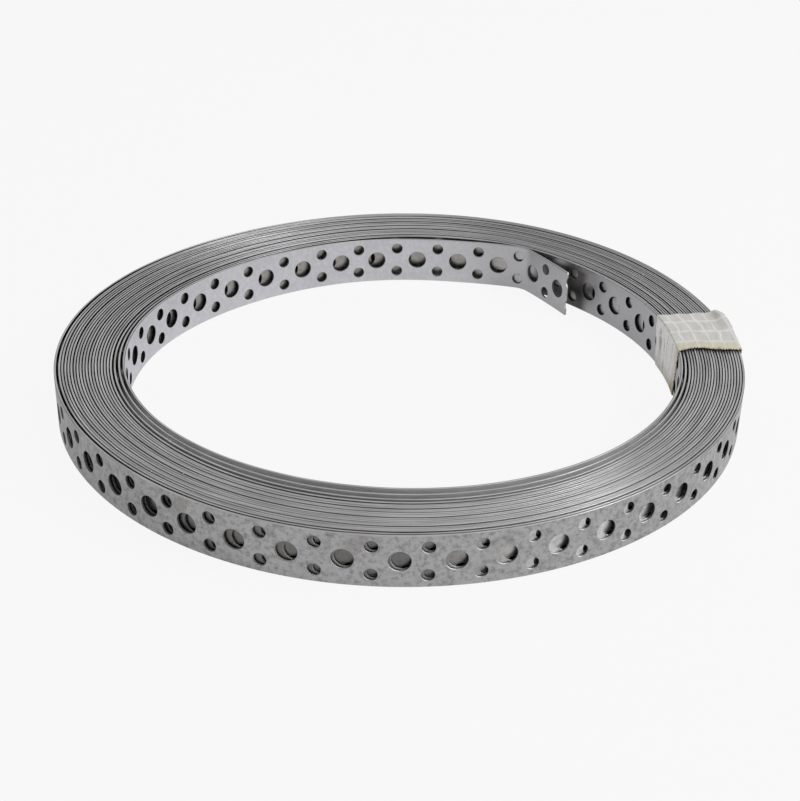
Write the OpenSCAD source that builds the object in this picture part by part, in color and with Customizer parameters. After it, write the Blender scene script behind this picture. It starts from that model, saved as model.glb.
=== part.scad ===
// Roll of perforated metal strap, lying on its end.
// The axis of the coil is Z and the lower ends of its turns lie at z = 0.
// The free inner end of the strap stands in the bore at the back right.

/* [Coil] */
// Diameter of the bore inside the innermost turn
bore_d = 175.8; // [140:0.2:260]
// Number of turns in the coil
turns = 22; // [12:1:30]
// Air between one turn and the next
turn_gap = 0.28; // [0.16:0.01:0.5]
// Distance from the bottom of the gaps between the turns to the nearest small holes
gap_to_holes = 0.5; // [0.3:0.1:1]

/* [Strap] */
// Width of the strap, which is the height of the coil
strap_w = 17; // [14:0.5:25]
// Thickness of the strap
strap_t = 0.8; // [0.6:0.05:1.5]

/* [Perforation] */
// Distance along the strap from one large hole to the next
hole_pitch = 15.4; // [14:0.1:25]
// Diameter of the large holes on the strap's centre line
large_hole_d = 6.5; // [5:0.1:7]
// Diameter of the small holes, which stand in pairs between the large ones
small_hole_d = 4; // [2.5:0.1:4.5]
// Distance from the strap's centre line to each small hole of a pair
small_hole_offset = 4.6; // [3:0.1:4.8]
// Angle from the tape's middle to the first large hole of the outermost turn
first_hole_angle = 0.6; // [0:0.1:8]

/* [Free end] */
// Angle round the coil at which the free inner end leaves the bore's wall
free_end_angle = 62; // [40:1:100]
// Angle of the sharp bend at the foot of the free inner end
free_end_bend = 16; // [10:1:40]
// Further angle through which the free inner end curls on its way to the cut
free_end_curl = 25; // [5:1:40]
// Length of the free inner end, from its foot to the cut
free_end_length = 30; // [27:0.5:45]

/* [Tape] */
// Width of the tape that is wrapped round the coil's section
tape_w = 25; // [12:1:50]
// Thickness of the tape
tape_t = 0.25; // [0.15:0.05:1]
// Glue between the tape and the coil
tape_glue = 0.05; // [0.02:0.01:0.2]
// Angle round the coil of the tape's middle
tape_angle = 7.2; // [-20:0.1:25]
// Turn of the tape away from the coil's radius
tape_skew = 6; // [-10:0.5:10]

/* [Hidden] */
$fn = 180;

turn_pitch = strap_t + turn_gap;
bore_r = bore_d / 2;
coil_r = bore_r + turns * turn_pitch - turn_gap;
mid_z = strap_w / 2;
// Depth to which the gaps between the turns are open on each end of the coil
gap_depth = mid_z - small_hole_offset - small_hole_d / 2 - gap_to_holes;
// Length by which a cutting tool stands proud of the face that it cuts
proud = 1;
// The same on the outer face of the free end, which the bore's wall is close to
proud_at_wall = 0.2;

// Angle of one hole pitch on the middle of the outermost and of the innermost turn
outer_step = hole_pitch / (coil_r - strap_t / 2) * 180 / PI;
inner_step = hole_pitch / (bore_r + strap_t / 2) * 180 / PI;
// Large holes in one whole turn
outer_count = floor(360 / outer_step);
inner_count = floor(360 / inner_step);
// The outermost turn starts under the tape
outer_start = tape_angle + first_hole_angle;
// Whole hole pitches in the free end, the last of which the end may cut short
free_end_pitches = ceil((free_end_length - small_hole_d / 2) / hole_pitch);
// Radius of the middle of the strap where the free end curls
curl_r = free_end_length / free_end_curl * 180 / PI;

// The upright section of the coil: a body with the turns standing out of it at both ends
module coil_section() {
    translate([bore_r, gap_depth])
        square([coil_r - bore_r, strap_w - 2 * gap_depth]);
    for (turn = [0 : turns - 1])
        translate([bore_r + turn * turn_pitch, 0])
            square([strap_t, strap_w]);
}

// A hole punched into a strap that faces along +X, with its near face at x = 0
module punched_hole(d, z, depth, proud_by) {
    translate([-depth, 0, z])
        rotate([0, 90, 0])
            cylinder(d = d, h = depth + proud_by);
}

module large_hole(depth = strap_t, proud_by = proud) {
    punched_hole(large_hole_d, mid_z, depth, proud_by);
}

module small_holes(depth = strap_t, proud_by = proud) {
    for (side = [-1, 1])
        punched_hole(small_hole_d, mid_z + side * small_hole_offset, depth, proud_by);
}

// Stands its children on the outside of the coil, facing outwards
module on_outside(angle) {
    rotate(angle)
        translate([coil_r, 0, 0])
            children();
}

// Stands its children on the wall of the bore, facing the coil's axis
module on_bore_wall(angle) {
    rotate(angle)
        translate([bore_r, 0, 0])
            mirror([1, 0, 0])
                children();
}

// The holes of the outermost turn, as deep as the strap is thick
module outer_holes() {
    for (i = [0 : outer_count - 1]) {
        on_outside(outer_start + i * outer_step)
            large_hole();
        on_outside(outer_start + (i + 0.5) * outer_step)
            small_holes();
    }
}

// The holes of the innermost turn, counted from the pair at the foot of the free end
module inner_holes() {
    for (i = [0 : inner_count - 1]) {
        on_bore_wall(free_end_angle + i * inner_step)
            small_holes();
        on_bore_wall(free_end_angle + (i + 0.5) * inner_step)
            large_hole();
    }
}

// Stands its children at the centre of the free end's curl, with its foot on +X
module at_curl_centre() {
    rotate(free_end_angle)
        translate([bore_r + strap_t / 2, 0, 0])
            rotate(-free_end_bend)
                translate([-curl_r, 0, 0])
                    children();
}

// Stands its children on the outer face of the free end, this far along it from its foot
module on_free_end(distance) {
    at_curl_centre()
        rotate(-free_end_curl * distance / free_end_length)
            translate([curl_r + strap_t / 2, 0, 0])
                children();
}

module free_end() {
    at_curl_centre()
        rotate(-free_end_curl)
            rotate_extrude(angle = free_end_curl)
                translate([curl_r - strap_t / 2, 0])
                    square([strap_t, strap_w]);
}

// The last small pair lies across the end, so the cut leaves it as two notches
module free_end_holes() {
    for (i = [1 : free_end_pitches]) {
        on_free_end((i - 0.5) * hole_pitch)
            large_hole(strap_t + proud, proud_at_wall);
        on_free_end(i * hole_pitch)
            small_holes(strap_t + proud, proud_at_wall);
    }
}

module strap() {
    color([0.62, 0.62, 0.64])
        difference() {
            union() {
                rotate_extrude()
                    coil_section();
                free_end();
            }
            outer_holes();
            inner_holes();
            free_end_holes();
        }
}

// A ring round the coil's section, as far from it as the glue is thick
module tape_section(out) {
    translate([bore_r - out, -out])
        square([coil_r - bore_r + 2 * out, strap_w + 2 * out]);
}

module tape() {
    outside = tape_glue + tape_t;
    color([0.83, 0.82, 0.80])
        intersection() {
            rotate_extrude()
                difference() {
                    tape_section(outside);
                    tape_section(tape_glue);
                }
            rotate(tape_angle)
                translate([(bore_r + coil_r) / 2, 0, mid_z])
                    rotate(tape_skew)
                        cube([coil_r - bore_r + 4 * strap_w, tape_w, 2 * strap_w], center = true);
        }
}

strap();
tape();
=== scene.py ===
# %% [markdown]
# # A roll of perforated steel strap
# Fixing strap is sold as one long ribbon of thin steel, punched with a large hole and a pair of
# small holes by turns, wound into a flat coil and held by a piece of cloth tape. This lesson makes
# the ribbon once, flat, and then rolls it up, which is also how the real one is made. The strap's
# width and the floor come from the CAD model that is loaded first. Everything after it is in
# millimetres in the same frame, and becomes metres where a mesh is made.

import math

import bpy
import numpy as np
from mathutils import Matrix, Vector


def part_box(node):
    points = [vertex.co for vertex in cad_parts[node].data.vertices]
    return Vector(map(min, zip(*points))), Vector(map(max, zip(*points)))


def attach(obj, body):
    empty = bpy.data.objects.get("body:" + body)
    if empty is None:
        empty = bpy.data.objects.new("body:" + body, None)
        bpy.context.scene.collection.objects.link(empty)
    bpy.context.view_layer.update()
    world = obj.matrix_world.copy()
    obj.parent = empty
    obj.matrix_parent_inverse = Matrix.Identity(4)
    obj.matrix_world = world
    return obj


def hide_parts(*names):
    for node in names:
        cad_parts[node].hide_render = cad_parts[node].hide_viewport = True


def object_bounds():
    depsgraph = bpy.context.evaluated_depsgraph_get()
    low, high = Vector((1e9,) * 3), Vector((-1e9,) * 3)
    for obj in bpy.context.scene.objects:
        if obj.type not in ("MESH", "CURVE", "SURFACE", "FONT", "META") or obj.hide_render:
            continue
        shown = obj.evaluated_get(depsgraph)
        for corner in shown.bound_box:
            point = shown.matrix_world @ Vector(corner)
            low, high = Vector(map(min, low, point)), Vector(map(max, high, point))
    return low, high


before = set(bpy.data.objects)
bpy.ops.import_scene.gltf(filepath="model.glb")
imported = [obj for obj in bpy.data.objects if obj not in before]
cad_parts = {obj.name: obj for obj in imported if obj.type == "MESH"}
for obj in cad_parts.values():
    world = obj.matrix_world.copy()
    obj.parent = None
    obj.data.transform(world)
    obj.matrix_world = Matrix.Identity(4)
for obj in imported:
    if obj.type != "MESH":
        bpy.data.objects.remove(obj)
cad_low, cad_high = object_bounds()
MM = 0.001
ring_low, ring_high = (np.array(corner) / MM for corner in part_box("strap"))
tape_low, tape_high = (np.array(corner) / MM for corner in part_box("tape"))
STRAP_WIDTH = ring_high[2] - ring_low[2]
FLOOR = cad_low.z / MM
print("coil across", np.round(ring_high - ring_low, 1), "mm, floor at", round(FLOOR, 2))
print("tape's box in the CAD", np.round(tape_high - tape_low, 1), "mm")

# %% [markdown]
# ## The camera
# The coil lies flat and is seen from the front, from about 30 degrees above. A long lens keeps the
# far side nearly as wide as the near side. The camera leans a little to one side, as a hand-held
# one does, so its axes are built from three vectors and not from angles.

# %% Place the camera
VIEW_RISE = math.radians(29.82)
VIEW_LEAN = math.radians(-1.46)
VIEW_DISTANCE = 487.0
VIEW_TARGET = np.array([-0.81, -23.17, 8.5])
SENSOR, LENS_TO_SENSOR = 36, 1515.8 / 801

back_of_camera = np.array([0, -math.cos(VIEW_RISE), math.sin(VIEW_RISE)])
level_up = np.array([0, math.sin(VIEW_RISE), math.cos(VIEW_RISE)])
level_right = np.array([1.0, 0, 0])
lean_cos, lean_sin = math.cos(VIEW_LEAN), math.sin(VIEW_LEAN)
right = lean_cos * level_right - lean_sin * level_up
up = lean_sin * level_right + lean_cos * level_up

camera_data = bpy.data.cameras.new("camera")
camera_data.sensor_width = SENSOR
camera_data.lens = SENSOR * LENS_TO_SENSOR
camera_data.clip_start, camera_data.clip_end = 0.01, 20
camera = bpy.data.objects.new("camera", camera_data)
axes = Matrix(np.stack([right, up, back_of_camera], 1).tolist()).to_4x4()
place = (VIEW_TARGET + VIEW_DISTANCE * back_of_camera) * MM
camera.matrix_world = Matrix.Translation(Vector(place)) @ axes
bpy.context.scene.collection.objects.link(camera)
bpy.context.scene.camera = camera
print("lens", round(camera_data.lens, 1), "mm, camera at", np.round(place / MM, 0))

# %% [markdown]
# ## The line that the ribbon follows
# Seen from above, the ribbon is a spiral. A coil that was wound by hand isn't round: it's a little
# oval, its innermost turns lie loose at the front, and the first turn stands off the second one at
# the back. A plain Archimedean spiral would look like a machined ring, so the radius here goes
# from an inner outline to an outer outline, each a circle with a few slow waves on it.

# %% Outlines of the coil
TURN_START = math.radians(62)
TURNS, WHOLE_TURNS = 21.852, 22
INNER_RADIUS, OUTER_RADIUS = 88.34, 111.37
INNER_WAVES = [(0.78, -0.49), (1.80, 1.79), (-0.79, -0.70), (0.29, -0.04)]
OUTER_WAVES = [(-0.23, 0.13), (0.59, 1.75), (-0.70, -0.17), (0.26, -0.33)]
LOOSE_TURNS, LOOSE_EDGE, LOOSENESS = 3.0, 0.5, 2.2
SLACK, SLACK_TURN = 2.0, 0.05
BULGE, BULGE_WIDTH = 1.9, 0.2
LAST_TURN_OFF = 0.4
LAST_TURN_ANGLE, LAST_TURN_SPREAD = math.radians(190), math.radians(55)


def outline(radius, waves, angle):
    """radius + sum over n of a_n cos(n angle) + b_n sin(n angle)."""
    return radius + sum(
        a * np.cos(n * angle) + b * np.sin(n * angle) for n, (a, b) in enumerate(waves, 1)
    )


def turns_packed(turn, angle):
    """How far out a turn lies, counted in tight turns: its own number, plus LOOSENESS for each of
    the first LOOSE_TURNS turns, by ((1 - sin angle) / 2)^3, which is 1 at the front and 0 at the
    back. The count of loose turns stops growing softly, over LOOSE_EDGE, by the log of a cosh."""
    loose = LOOSENESS * ((1 - np.sin(angle)) / 2) ** 3

    def past(t):
        return LOOSE_EDGE * np.log(2 * np.cosh((t - LOOSE_TURNS) / LOOSE_EDGE))

    return turn + loose * 0.5 * (turn - past(turn) + past(0.0))


def coil_radius(turn):
    """Radius of the ribbon's middle after this many turns. It goes from the inner outline to the
    outer one by the share of packed turns. Near the start's angle the turns bulge by BULGE exp(-(d
    / width)^2) (1 - share)^4, the first turn stands off the second by SLACK x exp(1 - x), with x =
    turn / SLACK_TURN, and the last turn stands off the one before it by LAST_TURN_OFF exp(-(d /
    spread)^2) about LAST_TURN_ANGLE."""
    angle = TURN_START + 2 * np.pi * turn
    inner = outline(INNER_RADIUS, INNER_WAVES, angle)
    outer = outline(OUTER_RADIUS, OUTER_WAVES, angle)
    share = turns_packed(turn, angle) / turns_packed(TURNS, angle)
    from_start = (turn + 0.5) % 1 - 0.5
    bulge = BULGE * np.exp(-((2 * np.pi * from_start / BULGE_WIDTH) ** 2)) * (1 - share) ** 4
    slack = SLACK * (turn / SLACK_TURN) * np.exp(1 - turn / SLACK_TURN)
    from_left = (angle - LAST_TURN_ANGLE + np.pi) % (2 * np.pi) - np.pi
    off = LAST_TURN_OFF * np.exp(-((from_left / LAST_TURN_SPREAD) ** 2)) * (turn > TURNS - 1)
    return inner + (outer - inner) * share + bulge - slack + off


turn = np.linspace(0, TURNS, 60001)
angle = TURN_START + 2 * np.pi * turn
coil_line = coil_radius(turn)[:, None] * np.stack([np.cos(angle), np.sin(angle)], 1)
coil_length = np.r_[0, np.cumsum(np.linalg.norm(np.diff(coil_line, axis=0), axis=1))]
print("ribbon in the coil", round(coil_length[-1]), "mm")

# %% [markdown]
# ## The punching and the free end
# The press punches six cells at a stroke and then feeds the strip on, a little short each time. So
# the holes of a stroke are a quarter of a millimetre further apart than the pitch, and the gap to
# the next stroke is narrower. It is too little to see as such, but it decides which holes of the
# next turn show through those of the last one. Twice the strip also slipped back a little between
# strokes. The lengths count from the pair of small holes where the free end bends inwards, because
# the strap is weakest there. The inner rows are counted from that pair, and the outer rows from
# one known hole in front.

# %% Punching
STROKE_CELLS, STROKE_CREEP, STROKE_SHIFT = 6, 0.26, 4
INNER_PITCH, OUTER_PITCH = 15.31, 15.41
KNOWN_HOLE, KNOWN_ANGLE = 883, math.radians(-98.0)
FEED_SLIPS = [(860, 1.0), (815, 3.2)]


def creep(cell):
    """How far a cell's large hole is past its place by the even pitch: it grows by STROKE_CREEP a
    cell, and is nought on average over the STROKE_CELLS cells of a stroke."""
    in_stroke = (cell - STROKE_SHIFT) % STROKE_CELLS
    return STROKE_CREEP * (in_stroke - (STROKE_CELLS - 1) / 2)


def inner_hole(cell):
    """A hole's place by the inner pitch. Cells -1 and 0 lie evenly about the bend, at length 0."""
    return (cell + 0.5) * INNER_PITCH + creep(cell) - (creep(0) + creep(-1)) / 2


known_turn = (KNOWN_ANGLE - TURN_START) / (2 * np.pi) + WHOLE_TURNS
known_length = np.interp(known_turn, turn, coil_length)


def outer_hole(cell):
    """A hole's place by the outer pitch. Before each of FEED_SLIPS the whole row is set back."""
    set_back = sum(back * (cell < before) for before, back in FEED_SLIPS)
    even = known_length + (cell - KNOWN_HOLE) * OUTER_PITCH
    return even + creep(cell) - creep(KNOWN_HOLE) - set_back


print("first holes", np.round(inner_hole(np.arange(-2, 3)), 2), "mm from the bend")
print("known hole at", round(known_length, 1), "mm")

# %% [markdown]
# ## The free end
# The inner end was pulled off the bore's wall by hand. It bends inwards at its weakest place, and
# past the bend it is curved the same way as the coil but less. A drawn curve would need points
# placed by eye. Here the heading is written as a function of the length, and adding up short steps
# in that heading gives the line, so its length is right whatever the bend.

# %% Centre line with its free end
FREE_LENGTH = 29.2
FREE_BEND, BEND_FROM, BEND_TO, FREE_CURL = 26.3, 1.9, 4.9, 7.8


def eased(share):
    """From 0 to 1 with level ends: share^2 (3 - 2 share)."""
    return share * share * (3 - 2 * share)


end_s = np.linspace(0, FREE_LENGTH, 801)[1:]
bent = eased(np.clip((end_s - BEND_FROM) / (BEND_TO - BEND_FROM), 0, 1))
heading = TURN_START - np.radians(90 + FREE_BEND * bent + FREE_CURL * end_s / FREE_LENGTH)
end_line = coil_line[0] + np.cumsum(np.stack([np.cos(heading), np.sin(heading)], 1) * end_s[0], 0)

line = np.concatenate([end_line[::-1], coil_line])
line_s = np.concatenate([-end_s[::-1], coil_length])
line_turn = np.concatenate([np.zeros(len(end_s)), turn])
tangent = np.gradient(line, line_s, axis=0)
tangent /= np.linalg.norm(tangent, axis=1)[:, None]
print("the free end is", FREE_LENGTH, "mm long and points to", np.round(end_line[-1], 1))

# %% [markdown]
# ## The ribbon, flat
# A punched ribbon could be cut with booleans, but 900 cells of them would be slow and leave ragged
# faces. Here the flat ribbon is tiled: each hole sits in its own rectangle, and one ring of
# four-sided faces goes from the rectangle to the hole. Such a ring bends cleanly round the coil.
# The turns that nothing looks into are left without holes, and one fan of triangles joins the two
# kinds of ribbon.

# %% Tiles of the flat ribbon
LARGE_RADIUS, SMALL_RADIUS, SMALL_OFFSET = 3.25, 2.0, 4.6
MID_HEIGHT = STRAP_WIDTH / 2
LOWER_AND_UPPER_HALF = ((0, -1), (MID_HEIGHT, 1))
LARGE_HALF = 4.475
STEPS_UP, STEPS_SIDE = 8, 4
PLAIN_LENGTH = 3.85


def box_walk(s_low, s_high, z_low, z_high, n_s, n_z):
    """Points round a rectangle from its low corner, anticlockwise, n_s steps along and n_z up."""
    ahead, upward = np.linspace(s_low, s_high, n_s + 1), np.linspace(z_low, z_high, n_z + 1)
    s = np.r_[ahead[:-1], np.full(n_z, s_high), ahead[:0:-1], np.full(n_z, s_low)]
    z = np.r_[np.full(n_s, z_low), upward[:-1], np.full(n_s, z_high), upward[:0:-1]]
    return np.stack([s, z], 1)


def ring_of_faces(outer, inner, closed=True):
    """Quads between two walks with as many points: outer i, outer i+1, inner i+1, inner i."""
    if closed:
        outer, inner = np.r_[outer, outer[:1]], np.r_[inner, inner[:1]]
    return np.stack([outer[:-1], outer[1:], inner[1:], inner[:-1]], 1)


def holed_tile(s_low, s_high, z_low, z_high, n_z, centre, radius):
    """A rectangle with a round hole. Its points are at equal angles, the low corner's first."""
    count = 2 * (STEPS_SIDE + n_z)
    angle = -np.pi / 2 - np.pi * STEPS_SIDE / count + 2 * np.pi * np.arange(count) / count
    hole = np.array(centre) + radius * np.stack([np.cos(angle), np.sin(angle)], 1)
    return ring_of_faces(box_walk(s_low, s_high, z_low, z_high, STEPS_SIDE, n_z), hole)


def pair_tiles(s_low, s_high, s_pair):
    """The two small holes, one in the lower half of the ribbon and one in the upper half."""
    tiles = []
    for low, side in LOWER_AND_UPPER_HALF:
        centre = (s_pair, MID_HEIGHT + side * SMALL_OFFSET)
        high = low + MID_HEIGHT
        tiles.append(holed_tile(s_low, s_high, low, high, STEPS_UP // 2, centre, SMALL_RADIUS))
    return np.concatenate(tiles)


large = holed_tile(-LARGE_HALF, LARGE_HALF, 0, STRAP_WIDTH, STEPS_UP, (0, MID_HEIGHT), LARGE_RADIUS)
print("faces round a large hole:", len(large))

# %% [markdown]
# ## The cut end
# The free end was snipped through a pair of small holes, so it ends in two notches with sharp
# corners. Each notch is the part of a small hole's tile that is left, between an arc and three
# sides.

# %% Tiles of the cut end
def notched_tile(s_cut, s_high, z_low, z_high, centre, radius):
    """What is left of a holed tile past s_cut: faces between the arc of the hole that is left,
    from top to bottom, and the walk over the tile's top, along its far side and back under it."""
    half = STEPS_SIDE // 2
    back_along = np.linspace(s_cut, s_high, half + 1)
    down = np.linspace(z_high, z_low, STEPS_UP // 2 + 1)
    walk_s = np.r_[back_along, np.full(STEPS_UP // 2 - 1, s_high), back_along[::-1]]
    walk_z = np.r_[np.full(half, z_high), down, np.full(half, z_low)]
    reach = math.acos((s_cut - centre[0]) / radius)
    angle = np.linspace(reach, -reach, len(walk_s))
    arc = np.array(centre) + radius * np.stack([np.cos(angle), np.sin(angle)], 1)
    return ring_of_faces(arc, np.stack([walk_s, walk_z], 1), closed=False)


def along(tiles, s):
    """The tiles, moved to each length in s."""
    return (tiles[None] + np.stack([s, 0 * s], 1)[:, None, None]).reshape(-1, *tiles.shape[1:])


end_tile_to = inner_hole(-2) - LARGE_HALF
cut_pair = (inner_hole(-3) + inner_hole(-2)) / 2
end_block = []
for low, side in LOWER_AND_UPPER_HALF:
    centre = (cut_pair, MID_HEIGHT + side * SMALL_OFFSET)
    high = low + MID_HEIGHT
    end_block.append(notched_tile(-FREE_LENGTH, end_tile_to, low, high, centre, SMALL_RADIUS))
print("cut", round(cut_pair + FREE_LENGTH, 2), "mm from the middle of its pair of holes")

# %% [markdown]
# ## Which turns have holes
# Through a hole one sees the next turns in, and their holes, until it's dark. So the three
# outermost and the three innermost turns have their holes, and the ones between are plain.

# %% Lay out the holed turns
SEEN_TURNS = 3
SAME_GAP = 0.001


def holed_ribbon(first, last, hole_place):
    """Tiles of the cells from first to last, and the lengths where they start and end."""
    centres = hole_place(np.arange(first, last + 1))
    gaps = np.diff(centres)
    parts = [along(large, centres)]
    for gap in np.unique(np.round(gaps, 3)):
        alike = np.abs(gaps - gap) < SAME_GAP
        to = gaps[alike][0] - LARGE_HALF
        pair = pair_tiles(LARGE_HALF, to, (LARGE_HALF + to) / 2)
        parts.append(along(pair, centres[:-1][alike]))
    return np.concatenate(parts), centres[0] - LARGE_HALF, centres[-1] + LARGE_HALF


inner_cells = int(np.interp(SEEN_TURNS, turn, coil_length) / INNER_PITCH)
seen_from = np.interp(TURNS - SEEN_TURNS, turn, coil_length)
outer_cells = int((coil_length[-1] - seen_from) / OUTER_PITCH)
last_cell = KNOWN_HOLE + int((coil_length[-1] - LARGE_HALF - known_length) / OUTER_PITCH)
inner_tiles, _, plain_from = holed_ribbon(-2, inner_cells, inner_hole)
outer_tiles, plain_to, ribbon_end = holed_ribbon(last_cell - outer_cells, last_cell, outer_hole)
end_turn = np.interp(ribbon_end, coil_length, turn)
end_angle = (math.degrees(TURN_START) + 360 * end_turn) % 360
print("holes in cells -2 to", inner_cells, "and", last_cell - outer_cells, "to", last_cell)
print("the outer end is at", round(end_angle, 1), "degrees")

# %% Lay out the plain turns between them
plain_s = np.linspace(plain_from, plain_to, int((plain_to - plain_from) / PLAIN_LENGTH))
plain_box = np.stack([plain_s[1:-2], plain_s[2:-1], plain_s[2:-1], plain_s[1:-2]], 1)
plain_height = np.broadcast_to([0, 0, STRAP_WIDTH, STRAP_WIDTH], plain_box.shape)
plain = np.stack([plain_box, plain_height], 2)


def fan(s_holed, s_plain):
    """Triangles from a holed tile's divided side to the undivided side of plain ribbon."""
    z = np.linspace(0, STRAP_WIDTH, STEPS_UP + 1)
    side = np.stack([np.full(STEPS_UP + 1, s_holed), z], 1)
    corners = np.array([[s_plain, 0.0], [s_plain, STRAP_WIDTH]])
    tip = corners[(np.arange(STEPS_UP) >= STEPS_UP // 2).astype(int)]
    spokes = np.stack([tip, side[1:], side[:-1]], 1)
    middle = np.stack([corners[0], corners[1], side[STEPS_UP // 2]])[None]
    triangles = np.concatenate([spokes, middle])
    return triangles if s_plain > s_holed else triangles[:, ::-1]


quads = np.concatenate([*end_block, inner_tiles, plain, outer_tiles])
triangles = np.concatenate([fan(plain_from, plain_s[1]), fan(plain_to, plain_s[-2])])
print(len(quads), "four-sided faces and", len(triangles), "triangles in the flat ribbon")

# %% [markdown]
# ## Weld, thicken and roll up
# The tiles are welded where they meet. Every edge that is then used once is an outline: the
# ribbon's two slit edges, its ends and the rims of its holes. A wall goes round each outline, with
# a small chamfer on the slit edges and on the holes that are seen closely, because a sheared edge
# is never sharp. A Solidify and a Bevel modifier could do it, but they would bevel 900 cells
# alike.

# %% Weld the tiles
WELDS_A_MM = 2000

corner_points = np.concatenate([quads.reshape(-1, 2), triangles.reshape(-1, 2)])
_, first_use, index = np.unique(
    np.round(corner_points * WELDS_A_MM).astype(np.int64),
    axis=0,
    return_index=True,
    return_inverse=True,
)
flat = corner_points[first_use]
index = index.ravel()
quad_index = index[: quads.shape[0] * 4].reshape(-1, 4)
triangle_index = index[quads.shape[0] * 4 :].reshape(-1, 3)


def directed_edges(faces):
    """Each face's edges in order, as pairs of point numbers."""
    return np.stack([faces, np.roll(faces, -1, axis=1)], 2).reshape(-1, 2)


edges = np.concatenate([directed_edges(quad_index), directed_edges(triangle_index)])
edge_codes = np.sort(edges, 1) @ [1, len(flat)]
codes, counts = np.unique(edge_codes, return_counts=True)
rim = edges[np.isin(edge_codes, codes[counts == 1])]
print(len(flat), "points, of them on outlines", len(rim))
print("each is in one outline only:", len(np.unique(rim[:, 0])) == len(rim))

# %% Find which way each outline faces
# The two edges at a point each have a normal away from the steel. Their sum, times 2 / its
# length^2, is the mitre: it moves both edges out by one.
following = np.full(len(flat), -1)
following[rim[:, 0]] = rim[:, 1]
on_rim = np.flatnonzero(following >= 0)
step = flat[following[on_rim]] - flat[on_rim]
step /= np.linalg.norm(step, axis=1)[:, None]
away = np.zeros((len(flat), 2))
away[on_rim] += np.stack([step[:, 1], -step[:, 0]], 1)
away[following[on_rim]] += np.stack([step[:, 1], -step[:, 0]], 1)
length = np.linalg.norm(away, axis=1)
away[on_rim] *= (2 / length[on_rim] ** 2)[:, None]

print("longest mitre", round(2 / length[on_rim].min(), 2))

# %% Choose the chamfers
SLIT_CHAMFER, PUNCH_CHAMFER, SNIPPED_CHAMFER = 0.12, 0.14, 0.03
SOLID_MARGIN, CELLS_CLOSE_UP, STRAIGHT_UP = 1, 90, 0.999

in_hole = (flat[:, 1] > SOLID_MARGIN) & (flat[:, 1] < STRAP_WIDTH - SOLID_MARGIN)
in_hole &= flat[:, 0] > SOLID_MARGIN - FREE_LENGTH
close_up = (flat[:, 0] < inner_hole(CELLS_CLOSE_UP) - LARGE_HALF) | (
    flat[:, 0] > outer_hole(last_cell - CELLS_CLOSE_UP) - LARGE_HALF
)
chamfered = np.zeros(len(flat), bool)
chamfered[on_rim] = (~in_hole | close_up)[on_rim]
snipped = flat[:, 0] < end_tile_to
snipped[on_rim] &= np.abs(away[on_rim][:, 1]) < STRAIGHT_UP
chamfer = np.where(in_hole, PUNCH_CHAMFER, SLIT_CHAMFER) * chamfered
chamfer[snipped & chamfered] = SNIPPED_CHAMFER
print("points with a chamfer", chamfered.sum())

# %% Build the solid ribbon
STRAP_THICKNESS = 0.8
HALF = STRAP_THICKNESS / 2

# Layer by layer: the outer face, the inner face, and the two edges of the wall between them.
wall_point = np.full(len(flat), -1)
wall_point[chamfered] = np.arange(chamfered.sum())
face_place = flat - away * chamfer[:, None]
points_s_z = np.concatenate([face_place, face_place, flat[chamfered], flat[chamfered]])
points_t = np.concatenate(
    [
        np.full(len(flat), HALF),
        np.full(len(flat), -HALF),
        HALF - chamfer[chamfered],
        chamfer[chamfered] - HALF,
    ]
)
outer_face = np.arange(len(flat))
inner_face = outer_face + len(flat)
wall_outer = 2 * len(flat) + wall_point
wall_inner = wall_outer + chamfered.sum()


def wall(upper, lower, rim_edges):
    """Quads round an outline between two layers, facing away from the steel."""
    a, b = rim_edges.T
    return np.stack([upper[a], lower[a], lower[b], upper[b]], 1)


fine = rim[chamfered[rim[:, 0]]]
plain_rim = rim[~chamfered[rim[:, 0]]]
solid_quads = np.concatenate(
    [
        quad_index,
        inner_face[quad_index[:, ::-1]],
        wall(outer_face, wall_outer, fine),
        wall(wall_outer, wall_inner, fine),
        wall(wall_inner, inner_face, fine),
        wall(outer_face, inner_face, plain_rim),
    ]
)
solid_triangles = np.concatenate([triangle_index, inner_face[triangle_index[:, ::-1]]])
print("triangles in the ribbon", 2 * len(solid_quads) + len(solid_triangles))

# %% [markdown]
# ## Marks for the finish
# Dirt and light treat a rolled face, a slit edge and a hole's wall differently, and a face between
# two turns differently from one in the open. A finish could guess that from a face's direction,
# but here it is known when the faces are made. So each face carries a few numbers from 0 to 1,
# which the finish reads by name.

# %% Mark the edges and the holes
# How dark the chamfers are made, the painted shade on the inner turns' hole walls, and the way that
# the painted-lit hole walls face.
OUTER_CHAMFER_DARKENING, INNER_CHAMFER_DARKENING, INNER_WALL_SHADE = 0.5, 0.55, 0.7
LIT_WAY = [0.6, 0.9]

first_wall = 2 * len(quad_index)
fine_walls = slice(first_wall, first_wall + 3 * len(fine))
is_cut = np.zeros(len(solid_quads) + len(solid_triangles), np.float32)
is_cut[first_wall : len(solid_quads)] = 1

# All chamfers are darkened. The hole walls get painted shade: in the outer turns' holes on the
# walls that don't face ahead along the ribbon and up, towards the lamp at the coil's front, and in
# the inner turns' holes on all walls.
slit = ~in_hole[fine[:, 0]]
on_outer_turns = np.interp(flat[fine[:, 0], 0], line_s, line_turn) > TURNS / 2
hole_chamfer_darkening = np.where(on_outer_turns, OUTER_CHAMFER_DARKENING, INNER_CHAMFER_DARKENING)
chamfer_darkening = np.where(slit, 1, hole_chamfer_darkening)
faces_lit_way = np.clip(away[fine[:, 0]] @ LIT_WAY, 0, 1)
painted_wall_shade = np.where(slit, 0, np.where(on_outer_turns, 1 - faces_lit_way, INNER_WALL_SHADE))
rim_darkening, hole_wall = np.zeros_like(is_cut), np.zeros_like(is_cut)
rim_darkening[fine_walls] = np.r_[chamfer_darkening, painted_wall_shade, chamfer_darkening]
hole_wall[fine_walls] = np.tile(~slit, 3)
print(int(is_cut.sum()), "faces on edges, of them", int(hole_wall.sum()), "in holes with a chamfer")

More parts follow.
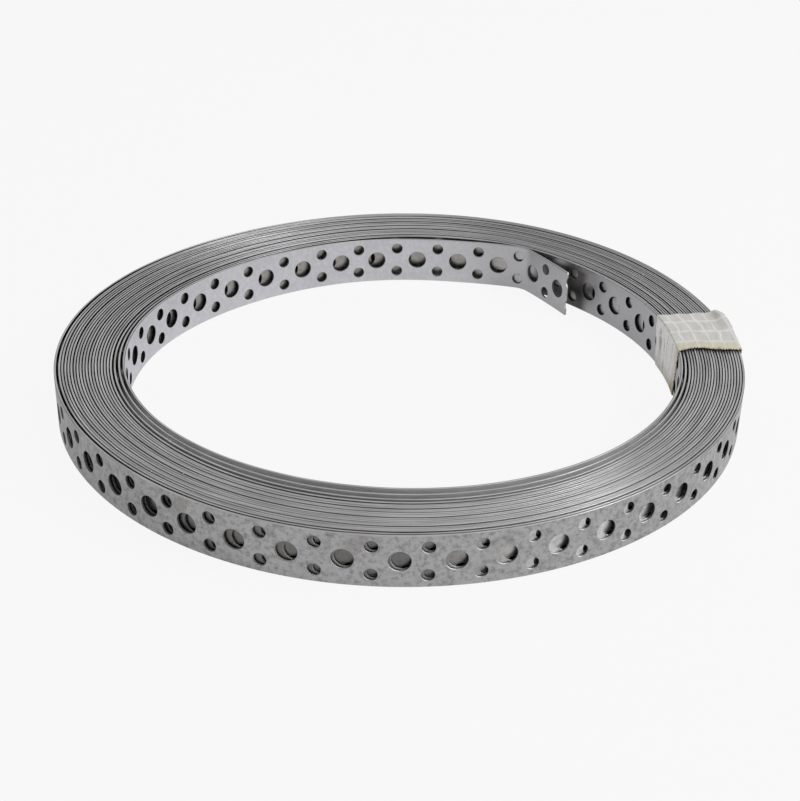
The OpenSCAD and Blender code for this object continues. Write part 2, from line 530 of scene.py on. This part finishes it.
# %% Mark what other turns cover
# faces_out is 1 on what faces away from the middle, covered on what another turn lies against,
# deep on what lies more than SEEN_TURNS turns in, and loose on the innermost turns.
faces_out = np.zeros_like(is_cut)
faces_out[: len(quad_index)] = 1
face_turn = np.interp(points_s_z[solid_quads[:, 0], 0], line_s, line_turn)
face_turn = np.r_[face_turn, np.full(len(solid_triangles), TURNS / 2)]


def within(turns):
    """1 on outward faces more than this many turns in, and on the others as many turns out."""
    deep_enough = np.where(faces_out > 0, face_turn < TURNS - turns, face_turn > turns)
    return deep_enough.astype(np.float32)


covered, deep = within(1), within(SEEN_TURNS)
loose = (face_turn < LOOSE_TURNS).astype(np.float32)
print("share of faces that are covered", round(float(covered.mean()), 3))

# %% [markdown]
# ## Rolling up
# Each point of the flat ribbon has a length along it, a height and a depth in its thickness. The
# length gives a place on the centre line, and the depth moves the point along the line's normal. A
# coil also slips a little as it is wound, so each turn stands a hair higher or lower than the
# next: that is what makes the turns read as separate lines on the coil's end. The outermost turns
# sag to the floor at the front, and the free end climbs a little towards its tip. A Curve modifier
# could bend the ribbon too, but it can't give each turn its own height.

# %% The way from flat to rolled
SLIP = [(0.09, 0.37, 0.4), (0.06, 1.21, 2.0), (0.04, 2.67, 4.1)]
SLIP_RISE = 0.17
SAG, SAG_FROM, SAG_TO, SAG_POWER = 0.42, 19.4, 21.5, 1.5
FREE_RISE, RISE_POWER = 0.55, 1.3


def ahead_and_out(s):
    """Unit vectors along the ribbon's line and out from it."""
    ahead = np.stack([np.interp(s, line_s, tangent[:, i]) for i in (0, 1)], 1)
    ahead /= np.linalg.norm(ahead, axis=1)[:, None]
    return ahead, np.stack([ahead[:, 1], -ahead[:, 0]], 1)


def rolled(s, z, depth):
    """(s, z, depth) -> line(s) + depth * normal(s), at height z + sum of a sin(2 pi f turn + p).
    The last turns sag to the floor at the front, by ((1 - sin angle) / 2)^2. The free end climbs
    by FREE_RISE x^RISE_POWER, with x from 0 at the bend to 1 at the tip, and a point's height
    moves it along by the slope of that climb, so that the cut stays square."""
    past_bend = np.clip(-s - BEND_TO, 0, None) / (FREE_LENGTH - BEND_TO)
    slope = RISE_POWER * FREE_RISE / (FREE_LENGTH - BEND_TO) * past_bend ** (RISE_POWER - 1)
    s = s + (z - MID_HEIGHT) * slope
    middle = np.stack([np.interp(s, line_s, line[:, i]) for i in (0, 1)], 1)
    normal = ahead_and_out(s)[1]
    turns = np.interp(s, line_s, line_turn)
    slip = SLIP_RISE + sum(a * np.sin(2 * np.pi * f * turns + p) for a, f, p in SLIP)
    at_front = ((1 - np.sin(TURN_START + 2 * np.pi * turns)) / 2) ** 2
    outermost = np.clip((turns - SAG_FROM) / (SAG_TO - SAG_FROM), 0, 1)
    slip = slip - SAG * outermost**SAG_POWER * at_front
    rise = FREE_RISE * past_bend**RISE_POWER
    return np.column_stack([middle + normal * depth[:, None], z + slip + rise])


ribbon_points = rolled(points_s_z[:, 0], points_s_z[:, 1], points_t)
print("ribbon spans", np.round(ribbon_points.min(0), 1), np.round(ribbon_points.max(0), 1))


# %% Make the ribbon
def mesh_piece(name, points, quads, triangles=(), smooth_below=30, normals=None):
    """A mesh object from points in millimetres. It is smooth but for edges sharper than the angle,
    or shaded by one given normal for each point."""
    mesh = bpy.data.meshes.new(name)
    faces = quads.tolist() + [list(t) for t in np.asarray(triangles, int).tolist()]
    mesh.from_pydata((points * MM).tolist(), [], faces)
    mesh.polygons.foreach_set("use_smooth", np.ones(len(faces), bool))
    if normals is None:
        mesh.set_sharp_from_angle(angle=math.radians(smooth_below))
    else:
        mesh.normals_split_custom_set_from_vertices(normals.tolist())
    piece = bpy.data.objects.new(name, mesh)
    bpy.context.scene.collection.objects.link(piece)
    return piece


# The faces' normals point straight out or in. On the walls they lean over by the share in ROUNDED,
# so the light runs over a sheared edge as over a round one.
ROUNDED = 0.7
lean = np.concatenate([np.ones(len(flat)), -np.ones(len(flat)), np.full(chamfered.sum(), ROUNDED)])
lean = np.r_[lean, np.full(chamfered.sum(), -ROUNDED)]
off_wall = np.concatenate([0 * away, 0 * away, away[chamfered], away[chamfered]])
ahead, out = ahead_and_out(points_s_z[:, 0])
normals = np.column_stack([ahead * off_wall[:, :1] + out * lean[:, None], off_wall[:, 1]])
ribbon = mesh_piece(
    "perforated_ribbon", ribbon_points, solid_quads, solid_triangles, normals=normals
)
face_marks = {
    "cut_edge": is_cut,
    "rim_darkening": rim_darkening,
    "hole_wall": hole_wall,
    "faces_out": faces_out,
    "covered": covered,
    "deep": deep,
    "loose": loose,
}
for mark, values in face_marks.items():
    ribbon.data.attributes.new(mark, "FLOAT", "FACE").data.foreach_set("value", values)
print("ribbon has", len(ribbon.data.polygons), "faces and", len(face_marks), "marks on each")

# %% Say where each point is on the flat ribbon
# UV: length along the ribbon and height on it, in metres; the depth is added to the height.
along_ribbon = np.stack([points_s_z[:, 0], points_s_z[:, 1] + points_t - HALF], 1) * MM


def write_uv(piece, name, per_point):
    """A UV map from one pair of numbers for each point."""
    mesh = piece.data
    corner = np.empty(len(mesh.loops), np.int32)
    mesh.loops.foreach_get("vertex_index", corner)
    layer = mesh.uv_layers.new(name=name)
    layer.data.foreach_set("uv", per_point[corner].astype(np.float32).ravel())


write_uv(ribbon, "along_ribbon", along_ribbon)
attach(ribbon, "root")
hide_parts("strap")
print("UV runs over", np.round(np.ptp(along_ribbon, axis=0), 3), "m")

# %% [markdown]
# ## The tape
# A piece of cloth tape, cut from a 25 mm roll, goes once round the coil's section and keeps it
# from springing open. It is stuck on at a slant, hangs a little slack on the outside, and stands
# up in a fold over the outer corner. It could be a strip with a cloth simulation, but stretched
# tape has no free folds to simulate, so it is a sleeve worked out on a grid: one parameter goes
# round the section, and the other from its near edge to its far edge. The two edges are placed by
# themselves at each corner of the section, so the sleeve isn't equally wide all the way round.

# %% Walk round the section
def walk_round(sides, arc_steps):
    """Shares of the width and height, and the direction outwards, for a walk round a rectangle
    with round corners. It starts at the outer bottom corner; sides are the steps up the outer
    side, over the top, down the inner side and back below."""
    ends = np.array([[1, 0], [1, 1], [0, 1], [0, 0], [1, 0]], float)
    shares, turned = [], []
    for number, steps in enumerate(sides):
        part = np.linspace(0, 1, steps + 1)[:, None]
        shares += [ends[number] * (1 - part) + ends[number + 1] * part]
        shares += [np.repeat(ends[number + 1][None], arc_steps - 1, 0)]
        turned += [np.full(steps + 1, 90.0 * number)]
        turned += [90 * (number + np.arange(1, arc_steps) / arc_steps)]
    return np.concatenate(shares), np.radians(np.concatenate(turned))


shares, outwards = walk_round((20, 64, 40, 30), 6)
corner_at = np.array([0, 23.5, 93.5, 139.5, len(shares)])
print("points round the tape:", len(shares))

# %% Edges of the tape
# NEAR_EDGE and FAR_EDGE are the angles of the edges at the section's corners, in degrees.
NEAR_EDGE = np.array([1.6, 0.45, -1.3, 0.2, 1.6])
FAR_EDGE = np.array([15.2, 14.6, 15.8, 13.8, 15.2])
BUMP, BUMP_AT, BUMP_SPREAD = 1.15, 0.3, 0.28

station = np.arange(len(shares))
near_edge = np.interp(station, corner_at, NEAR_EDGE)
far_edge = np.interp(station, corner_at, FAR_EDGE)
on_top = np.clip(np.sin(outwards), 0, 1)
middle_of_top = (1 - (2 * shares[:, 0] - 1) ** 8) * on_top
near_edge += (
    BUMP * np.exp(-(((shares[:, 0] - BUMP_AT) / BUMP_SPREAD) ** 2)) * on_top
    + 0.10 * np.sin(station * 1.9)
    + 0.07 * np.sin(station * 3.7 + 1)
)
far_edge += 0.15 * np.sin(station * 0.31)
print("tape covers", np.round((far_edge - near_edge).mean(), 1), "degrees of the coil")

# %% Shape of the tape
TAPE_THICKNESS, TAPE_CLEAR, OUTER_SLACK = 0.25, 0.06, 0.4
TAPE_LOW, TAPE_HIGH = FLOOR + TAPE_THICKNESS + 2 * TAPE_CLEAR, STRAP_WIDTH + 2 * SLIP_RISE
TAPE_STEPS, STEP_DOWN_DEGREES = 36, 5
FOLD, FOLD_AT, FOLD_SPREAD, FOLD_STATIONS = 1.7, 0.80, 0.26, 7.0
LIFT, LIFT_SPREAD, RIPPLE, BELOW = 0.35, 0.16, 0.10, 0.02


def surface_radii(degrees):
    """Radii of the coil's inside and outside under the tape. The ribbon's end makes a step on the
    outside; the tape comes down from it over STEP_DOWN_DEGREES, eased."""
    turns_in = (degrees - math.degrees(TURN_START)) / 360
    past_end = np.clip((turns_in + WHOLE_TURNS - end_turn) * 360 / STEP_DOWN_DEGREES, 0, 1)
    outside = coil_radius(np.minimum(turns_in + WHOLE_TURNS, end_turn + 0 * turns_in))
    under = coil_radius(turns_in + (WHOLE_TURNS - 1))
    return coil_radius(turns_in + 1) - HALF, outside + (under - outside) * eased(past_end) + HALF


def tape_points(depth):
    """The tape's surface at this depth from the coil: round the section along the first axis, and
    from the near edge to the far edge along the second. It stands off by a clearance, by FOLD
    exp(-d^2) exp(-e^2) over the outer corner, by LIFT exp(-e^2) at the near edge and by a slow
    ripple."""
    across = np.linspace(0, 1, TAPE_STEPS + 1)[None, :]
    degrees = near_edge[:, None] * (1 - across) + far_edge[:, None] * across
    inside, outside = surface_radii(degrees)
    wide, high, out = shares[:, :1], shares[:, 1:], outwards[:, None]
    round_ = station[:, None]
    corner = np.exp(-(((round_ - corner_at[1] - 2) / FOLD_STATIONS) ** 2))
    fold_across = np.exp(-(((across - FOLD_AT) / FOLD_SPREAD) ** 2))
    fold = FOLD * corner * fold_across * (1 + 0.12 * np.sin(17 * across))
    lift = LIFT * middle_of_top[:, None] * np.exp(-((across / LIFT_SPREAD) ** 2))
    ripple = RIPPLE * np.sin(9 * across + round_ * 0.11) * np.sin(round_ * 0.37 + 4 * across)
    stand = TAPE_CLEAR + depth + fold + lift + np.where(high < BELOW, 0, np.abs(ripple))
    slack = OUTER_SLACK * wide**8
    radius = inside + (outside - inside) * wide + stand * np.cos(out) + slack
    height = TAPE_LOW + (TAPE_HIGH - TAPE_LOW) * high + stand * np.sin(out)
    turned = np.radians(degrees)
    return np.stack([radius * np.cos(turned), radius * np.sin(turned), height], 2)


over, under = tape_points(TAPE_THICKNESS), tape_points(0.0)
edge_to_edge = np.linalg.norm(over[:, 0] - over[:, -1], axis=1)
print("tape's edges are", np.round([edge_to_edge.min(), edge_to_edge.max()], 1), "mm apart")

# %% Build the tape
sheet_grid = np.concatenate([over, under[:, ::-1]], 1)
round_count, across_count = sheet_grid.shape[:2]
number = np.arange(round_count * across_count).reshape(round_count, across_count)
next_round, next_across = np.roll(number, -1, 0), np.roll(number, -1, 1)
next_both = np.roll(next_round, -1, 1)
tape_quads = np.stack([number, next_across, next_both, next_round], 2).reshape(-1, 4)
tape = mesh_piece("cloth_tape", sheet_grid.reshape(-1, 3), tape_quads, smooth_below=50)
print("tape has", len(tape_quads), "faces")

# %% Say where each point is on the flat tape
TAPE_WIDTH = 25

# The length round is measured along the near edge. That edge is frayed, and its zigzag makes it
# longer than the way along the tape's middle.
steps_round = np.linalg.norm(np.diff(over[:, 0], axis=0, append=over[:1, 0]), axis=1)
round_place = np.r_[0, np.cumsum(steps_round)[:-1]]
TOP_TO, INNER_TO = (float(v) * MM for v in np.interp(corner_at[2:4], station, round_place))
across_place = np.r_[np.linspace(0, 1, TAPE_STEPS + 1), np.linspace(1, 0, TAPE_STEPS + 1)]
tape_uv = np.stack(np.broadcast_arrays(round_place[:, None], TAPE_WIDTH * across_place[None]), 2)
write_uv(tape, "on_tape", tape_uv.reshape(-1, 2) * MM)
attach(tape, "root")
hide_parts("tape")

# %% [markdown]
# ## Shader sums
# A shader's maths is easier to read as a sum than as a chain of boxes. A Term stands for one
# output socket, and Python's operators on it add Math nodes. Every other node comes from
# Finish.node. A finish is then built up as paint is: a base colour, and coats over it that each
# cover a share.


# %% Shader helpers
class Term:
    """An output socket that can be used in sums with numbers and other Terms."""

    def __init__(self, finish, socket):
        self.finish, self.socket = finish, socket

    def math(self, operation, *values):
        """A Math node on these values, which are numbers or Terms."""
        return self.finish.node("Math", dict(enumerate(values)), operation=operation)

    def __add__(self, other):
        return self.math("ADD", self, other)

    def __sub__(self, other):
        return self.math("SUBTRACT", self, other)

    def __rsub__(self, other):
        return self.math("SUBTRACT", other, self)

    def __mul__(self, other):
        return self.math("MULTIPLY", self, other)

    def larger(self, other):
        """The larger of the two, so that two masks add up to their union."""
        return self.math("MAXIMUM", self, other)

    def between(self, low, high):
        """0 below low, 1 above high, and smooth between them."""
        sockets = {"Value": self, "From Min": low, "From Max": high}
        return self.finish.node("MapRange", sockets, interpolation_type="SMOOTHSTEP")

    __radd__, __rmul__ = __add__, __mul__


class Finish:
    """The nodes of a material, or of the world, while they are made."""

    MIX_FIRST, MIX_SECOND, MIX_RESULT = 6, 7, 2

    def __init__(self, owner):
        owner.use_nodes = True
        self.owner, self.tree = owner, owner.node_tree
        self.tree.nodes.clear()

    def node(self, kind, sockets=(), out=0, **settings):
        """A node of this kind. Its settings are set first, then its sockets get values or links."""
        made = self.tree.nodes.new("ShaderNode" + kind)
        for name, value in settings.items():
            setattr(made, name, value)
        for key, value in dict(sockets).items():
            if isinstance(value, Term):
                self.tree.links.new(value.socket, made.inputs[key])
            else:
                made.inputs[key].default_value = value
        return Term(self, made.outputs[out])

    def axis(self, vector, letter):
        """One coordinate of a vector."""
        return self.node("SeparateXYZ", {"Vector": vector}, out=letter)

    def ray(self, kind):
        """1 for rays of this kind, such as Camera or Glossy."""
        return self.node("LightPath", out="Is " + kind + " Ray")

    def noise(self, vector, scale, detail=3.0, rough=0.5, stretch=(1, 1, 1)):
        """Noise from 0 to 1, finer along the axes whose stretch is larger."""
        placed = self.node("Mapping", {"Vector": vector, "Scale": stretch})
        sockets = {"Vector": placed, "Scale": scale, "Detail": detail, "Roughness": rough}
        return self.node("TexNoise", sockets)

    def mix(self, share, first, second):
        """first where share is 0 and second where it is 1."""
        sockets = {"Factor": share, self.MIX_FIRST: first, self.MIX_SECOND: second}
        return self.node("Mix", sockets, out=self.MIX_RESULT, data_type="RGBA")

    def coats(self, base, *coats):
        """The base colour with coats over it. Each is the share that it covers, and its colour."""
        for share, over in coats:
            base = self.mix(share, base, over)
        return base

    def output(self, surface, kind="OutputMaterial"):
        """Joins the surface to the output, and gives the finished material or world."""
        made = self.tree.nodes.new("ShaderNode" + kind)
        self.tree.links.new(surface.socket, made.inputs["Surface"])
        return self.owner

    def principled(self, **shader):
        """The Principled shader and the output. Underscores in names stand for spaces."""
        sockets = {name.replace("_", " "): value for name, value in shader.items()}
        return self.output(self.node("BsdfPrincipled", sockets))


def colour(r, g, b):
    """A colour with nothing see-through about it."""
    return (r, g, b, 1)


BLACK, WHITE = colour(0.015, 0.015, 0.015), colour(1.0, 1.0, 1.0)
steel = Finish(bpy.data.materials.new("rolled_steel"))
print("started", steel.owner.name, "with", len(steel.tree.nodes), "nodes")

# %% [markdown]
# ## Bright rolled steel
# The strap is thin zinc-plated steel. It is satin, with fine lines along the ribbon from rolling.
# The inside of the coil stays clean, and the outside has a mottle of dirt and faint brown stain
# where hands and the shelf have touched it. One dirt pattern over everything would look even, and
# real dirt isn't, so the patterns are noise and the places where they lie are masks.

# %% Places on the steel
ribbon_place = steel.node("UVMap", uv_map="along_ribbon")
object_place = steel.node("TexCoord", out="Object")
marks = {name: steel.node("Attribute", attribute_name=name, out="Fac") for name in face_marks}
length_on, height = steel.axis(ribbon_place, "X"), steel.axis(ribbon_place, "Y")
to_right, to_back = steel.axis(object_place, "X"), steel.axis(object_place, "Y")

# Parts of the coil, in metres from its middle, where painted light and shade go into the steel's
# colour.
shaded_right_half = to_right.between(-0.02, 0.06)
lit_right_inside = to_right.between(0.03, 0.05)
lit_right_outside = to_right.between(0.0, 0.05)
shaded_right_edges = to_right.between(0.01, 0.05)
at_left = 1 - to_right.between(-0.07, -0.02)
at_sides = 1 - to_back.math("ABSOLUTE", to_back).between(0.035, 0.095)
at_front = 1 - to_back.between(-0.05, -0.02)
not_at_back = 1 - to_back.between(0.0, 0.03)

# Bands on the ribbon, in metres up it: away from both slit edges, and right at them.
from_slit = height.between(0.0, 0.0016) * (1 - height.between(0.0154, 0.017))
at_slit = 1 - height.between(0.0002, 0.0005) * (1 - height.between(0.0165, 0.0168))
print("the steel reads", len(marks), "marks")

# %% [markdown]
# ## Painted shade behind the free end
# The first turn's inside is painted dark where the free end shades it: painted shade. It is a place
# on the ribbon and not on the coil, so it is given by lengths, counted back from the first turn's
# end.

# %% Painted shade behind the free end
SHADE_STARTS, SHADE_ENDS, SHADE_TOP = (0.033, 0.0285), (0.009, 0.005), (0.0135, 0.0155)

first_turn_ends = float(np.interp(1.0, turn, coil_length)) * MM
shade_on = length_on.between(*(first_turn_ends - back for back in SHADE_STARTS))
shade_off = length_on.between(*(first_turn_ends - back for back in SHADE_ENDS))
painted_end_shade = shade_on * (1 - shade_off) * (1 - marks["faces_out"])
painted_end_shade = painted_end_shade * (1 - height.between(*SHADE_TOP))
print("the first turn ends at", round(first_turn_ends, 4), "m")

# %% Patterns on the steel
rolling = steel.noise(ribbon_place, 1.0, stretch=(60, 2500, 1))
mottle = steel.noise(object_place, 650, detail=7, rough=0.7)
grain = steel.noise(object_place, 1500, detail=3, rough=0.6)
cloud = steel.noise(object_place, 45, detail=3)
stain = steel.noise(object_place, 110, detail=6, rough=0.65).between(0.53, 0.68)
grime = steel.noise(ribbon_place, 520, detail=4, rough=0.6).between(0.42, 0.66)
edge_streak = steel.noise(ribbon_place, 1.0, detail=4, stretch=(40, 900, 1))
print("nodes so far:", len(steel.tree.nodes))

# %% Colour of the open faces
clean_with_shaded_right = steel.coats(
    colour(0.57, 0.57, 0.60),
    (mottle.between(0.3, 0.75), colour(0.70, 0.70, 0.73)),
    # Painted shade: the clean inner face is darker on the coil's right, which faces away from the
    # lamp.
    (shaded_right_half * 0.6, colour(0.42, 0.42, 0.43)),
)
handled = steel.coats(
    colour(0.25, 0.245, 0.245),
    (mottle.between(0.32, 0.58), colour(0.45, 0.45, 0.46)),
    (stain * 0.4, colour(0.21, 0.18, 0.145)),
    (grain.between(0.62, 0.75) * 0.5, colour(0.14, 0.13, 0.125)),
)
open_face = steel.mix(marks["faces_out"], clean_with_shaded_right, handled)
open_face = steel.mix(cloud.between(0.35, 0.7) * 0.2, open_face, colour(0.33, 0.33, 0.34))
print("nodes so far:", len(steel.tree.nodes))

# %% [markdown]
# ## Between the turns, and the edges
# What another turn covers is seen only through a hole or in a gap, so it's painted with the light
# and shade that it gets there: a lighter grey on the coil's right, where the lamp is, painted black
# shade deep in and near the slit edges, and painted light in the loose turns at the front. A turn's
# slit edge shows as one thin line. The lines differ in brightness, because their pattern goes by
# the length along the ribbon and a turn is two thirds of a metre. At the coil's sides painted shade
# on their chamfers makes the lines stand apart.

# %% Colour between the turns
# Painted light and shade: covered faces are lighter on the coil's right, where the lamp is, than on
# its left.
inside = steel.mix(
    lit_right_inside, colour(0.37, 0.355, 0.34), colour(0.52, 0.51, 0.51)
)
outside = steel.mix(
    lit_right_outside, colour(0.18, 0.175, 0.17), colour(0.64, 0.635, 0.63)
)
# Painted shade: black on what lies deep in the coil and near the slit edges, in the gaps between
# turns.
painted_black_shade = marks["deep"].larger(1 - from_slit) * (1 - at_slit)
covered_painted_light_and_grime = steel.coats(
    steel.mix(marks["faces_out"], inside, outside),
    (grime * 0.3, colour(0.08, 0.07, 0.06)),
    (painted_black_shade, BLACK),
    # Painted light on the loose turns at the front.
    (marks["loose"] * at_front, colour(0.72, 0.72, 0.73)),
)
print("nodes so far:", len(steel.tree.nodes))

# %% Colour of the edges, and the whole
edge = steel.coats(
    colour(0.46, 0.45, 0.455),
    (edge_streak.between(0.25, 0.75), colour(0.83, 0.82, 0.83)),
    # Painted shade: the edges at the front and back are darker, most on the coil's right, where the
    # lamp's highlight falls.
    ((shaded_right_edges * 0.4 + 0.2) * (1 - at_sides), colour(0.30, 0.30, 0.30)),
)
# Painted highlight: hole walls that face the lamp are white, except at the coil's left; painted
# shade: hole walls at the left are nearly black.
painted_lit_wall = marks["hole_wall"] * (1 - marks["rim_darkening"]) * (1 - at_left)
shaded_left_wall = marks["hole_wall"] * marks["covered"].larger(0.5) * at_left * not_at_back
# Darkened chamfers and the painted wall shade, with painted shade much stronger at the coil's
# sides, where the gaps between turns are in shadow.
edge_darkening_and_shade = marks["rim_darkening"] * (at_sides * 0.9 + 0.08 + marks["hole_wall"] * 0.7)
steel_colour = steel.coats(
    open_face,
    # Covered faces: some grime, and painted light and shade.
    (marks["covered"], covered_painted_light_and_grime),
    # Painted shade behind the free end.
    (painted_end_shade * 0.85, colour(0.07, 0.06, 0.055)),
    (marks["cut_edge"], edge),
    # Painted highlight on hole walls that face the lamp.
    (painted_lit_wall, WHITE),
    # Painted shade on hole walls at the coil's left.
    (shaded_left_wall * 0.6, colour(0.03, 0.03, 0.03)),
    # Darkened chamfers, with painted shade on hole walls and at the coil's sides.
    (edge_darkening_and_shade, BLACK),
)
print("nodes so far:", len(steel.tree.nodes))

# %% Shine of the steel
# Rolling lines and mottle make it rougher here and there; loose turns and hole walls are dull.
steel_rough = 0.32 + rolling * 0.06 + mottle * 0.16
steel_rough = steel_rough + marks["cut_edge"] * 0.08 - marks["covered"] * 0.1
steel_rough = steel_rough + (marks["loose"] * marks["faces_out"] + marks["hole_wall"]) * 0.35
relief = rolling * 0.3 + mottle * 0.5 + grain * 0.15
steel_bump = steel.node("Bump", {"Height": relief, "Strength": 0.35, "Distance": 0.00008})
ribbon.data.materials.append(
    steel.principled(
        Base_Color=steel_colour, Metallic=0.95, Roughness=steel_rough, Normal=steel_bump
    )
)
print("steel has", len(steel.tree.nodes), "nodes")

# %% [markdown]
# ## Cloth tape
# The tape is bleached cotton cloth under a thin clear film. Thicker threads cross it every few
# millimetres, both ways. The top and the outside, which the lamp lights, are painted greyer than
# the inside, as painted shade that evens out the light; the inside is white with grey streaks. Its
# near edge is yellow with old glue, and the inner corner at the bottom is brown.
# Threads as mesh would take far too many faces, so they are cosines of the place on the tape.

# %% Threads of the tape
THREAD_DRIFT, FINE_SPACING, FINE_THICKNESS = 0.003, 0.0008, 1.4
ROUND_SPACING, ACROSS_SPACING, THREAD_THICKNESS = 0.0056, 0.0069, 0.3

cloth = Finish(bpy.data.materials.new("cloth_tape"))
on_tape = cloth.node("UVMap", uv_map="on_tape")
round_axis, across_axis = cloth.axis(on_tape, "X"), cloth.axis(on_tape, "Y")
drift = cloth.noise(on_tape, 160, detail=2)


def threads(axis, spacing, thickness):
    """1 on the middle of each thread and 0 away from it, by the top of cos(2 pi place / spacing).
    The drift makes the threads wander a little."""
    phase = (axis + drift * THREAD_DRIFT) * (2 * math.pi / spacing)
    return phase.math("COSINE", phase).between(1 - thickness, 1.0)


weft = threads(round_axis, ROUND_SPACING, THREAD_THICKNESS)
warp = threads(across_axis, ACROSS_SPACING, THREAD_THICKNESS)
thick_threads = weft.larger(warp)
fine_weave = threads(round_axis, FINE_SPACING, FINE_THICKNESS) * 0.5
fine_weave = fine_weave + threads(across_axis, FINE_SPACING, FINE_THICKNESS) * 0.5
print("thick threads every", np.round(np.array([ROUND_SPACING, ACROSS_SPACING]) / MM, 1), "mm")

# %% Stains of the tape
blotch = cloth.noise(on_tape, 220, detail=5, rough=0.65)
from_edge = across_axis + (blotch - 0.5) * 0.004
yellowed = 1 - from_edge.between(0.0015, 0.0075)
on_inner_side = round_axis.between(TOP_TO, TOP_TO + 0.001)
streaks = cloth.noise(on_tape, 1.0, detail=5, rough=0.65, stretch=(60, 700, 1))
near_corner = 1 - across_axis.between(0.002, 0.012) * 0.6
at_tip = round_axis.between(INNER_TO - 0.007, INNER_TO - 0.001) * near_corner
brown_spots = cloth.noise(on_tape, 900, detail=2).between(0.45, 0.6)
brown = (1 - from_edge.between(0.0, 0.0011)) * brown_spots
print("nodes so far:", len(cloth.tree.nodes))

# %% Colour of the tape
cloth_colour = cloth.coats(
    colour(0.80, 0.785, 0.75),
    (blotch.between(0.3, 0.7), colour(0.97, 0.955, 0.925)),
    # Painted shade: the top and the outside, which the lamp lights, are greyer than the inside.
    ((1 - on_inner_side) * 0.6, colour(0.42, 0.41, 0.38)),
    (streaks.between(0.44, 0.5) * on_inner_side, WHITE),
    ((1 - streaks.between(0.40, 0.46)) * on_inner_side * 0.8, colour(0.40, 0.385, 0.36)),
    (fine_weave * (1 - on_inner_side) * 0.35, colour(0.45, 0.44, 0.42)),
    (thick_threads * (on_inner_side * 0.35 + 0.35), colour(0.95, 0.94, 0.92)),
    (yellowed * 0.6, colour(0.62, 0.58, 0.42)),
    (brown.larger(at_tip * 0.8), colour(0.36, 0.25, 0.10)),
)
weave = thick_threads + fine_weave * 0.4 + blotch * 0.5
cloth_bump = cloth.node("Bump", {"Height": weave, "Strength": 0.5, "Distance": 0.0001})
tape.data.materials.append(
    cloth.principled(Base_Color=cloth_colour, Roughness=0.55, Normal=cloth_bump)
)
print("tape has", len(cloth.tree.nodes), "nodes")

# %% [markdown]
# ## Floor, light and background
# Bright metal shows whatever stands round it, so the floor and the background are pale and even.
# The floor keeps the coil's shadow, but glows a little to the camera and in reflections. The world
# is nearly white to the camera, and about half as strong in reflections and as a lamp. One more
# lamp, at the right, gives the shadows a direction.

# %% Floor
HALF_FLOOR = 3.0
GLOW_TO_CAMERA, GLOW_IN_METAL = 0.96, 0.5

floor_mesh = bpy.data.meshes.new("floor")
floor_corners = [
    (x * HALF_FLOOR, y * HALF_FLOOR, FLOOR * MM) for x, y in ((-1, -1), (1, -1), (1, 1), (-1, 1))
]
floor_mesh.from_pydata(floor_corners, [], [(0, 1, 2, 3)])
floor = bpy.data.objects.new("floor", floor_mesh)
bpy.context.scene.collection.objects.link(floor)

pale = Finish(bpy.data.materials.new("pale_floor"))
lit = pale.node("BsdfDiffuse", {"Color": colour(0.9, 0.9, 0.9)})
glow = pale.node("Emission", {"Color": colour(0.945, 0.945, 0.945), "Strength": 1.0})
glow_share = pale.ray("Camera") * GLOW_TO_CAMERA + pale.ray("Glossy") * GLOW_IN_METAL
floor_mesh.materials.append(pale.output(pale.node("MixShader", {0: glow_share, 1: lit, 2: glow})))
print("floor", 2 * HALF_FLOOR, "m wide at", round(FLOOR, 2), "mm")

# %% World
SKY_TO_ALL, SKY_SEEN, SKY_TO_CAMERA = 0.5, 0.05, 0.38

world = bpy.data.worlds.new("studio")
bpy.context.scene.world = world
air = Finish(world)
camera_ray = air.ray("Camera")
direct = camera_ray + air.ray("Glossy") + air.ray("Transmission")
strength = camera_ray * SKY_TO_CAMERA + direct.between(0, 1) * SKY_SEEN + SKY_TO_ALL
air.output(air.node("Background", {"Color": WHITE, "Strength": strength}), "OutputWorld")
print("sky to the camera", round(SKY_TO_ALL + SKY_SEEN + SKY_TO_CAMERA, 2))


# %% Lamps
def lamp(name, place, size, power):
    """A square area lamp at a place in metres, turned to the coil."""
    data = bpy.data.lights.new(name, "AREA")
    data.size, data.energy = size, power
    made = bpy.data.objects.new(name, data)
    made.location = place
    made.rotation_euler = (-Vector(place)).to_track_quat("-Z", "Y").to_euler()
    bpy.context.scene.collection.objects.link(made)
    print(name, "is", round(Vector(place).length, 2), "m from the coil's middle")


lamp("key_lamp", (0.86, -0.23, 0.80), 0.3, 8)
bpy.context.scene.view_settings.view_transform = "Standard"
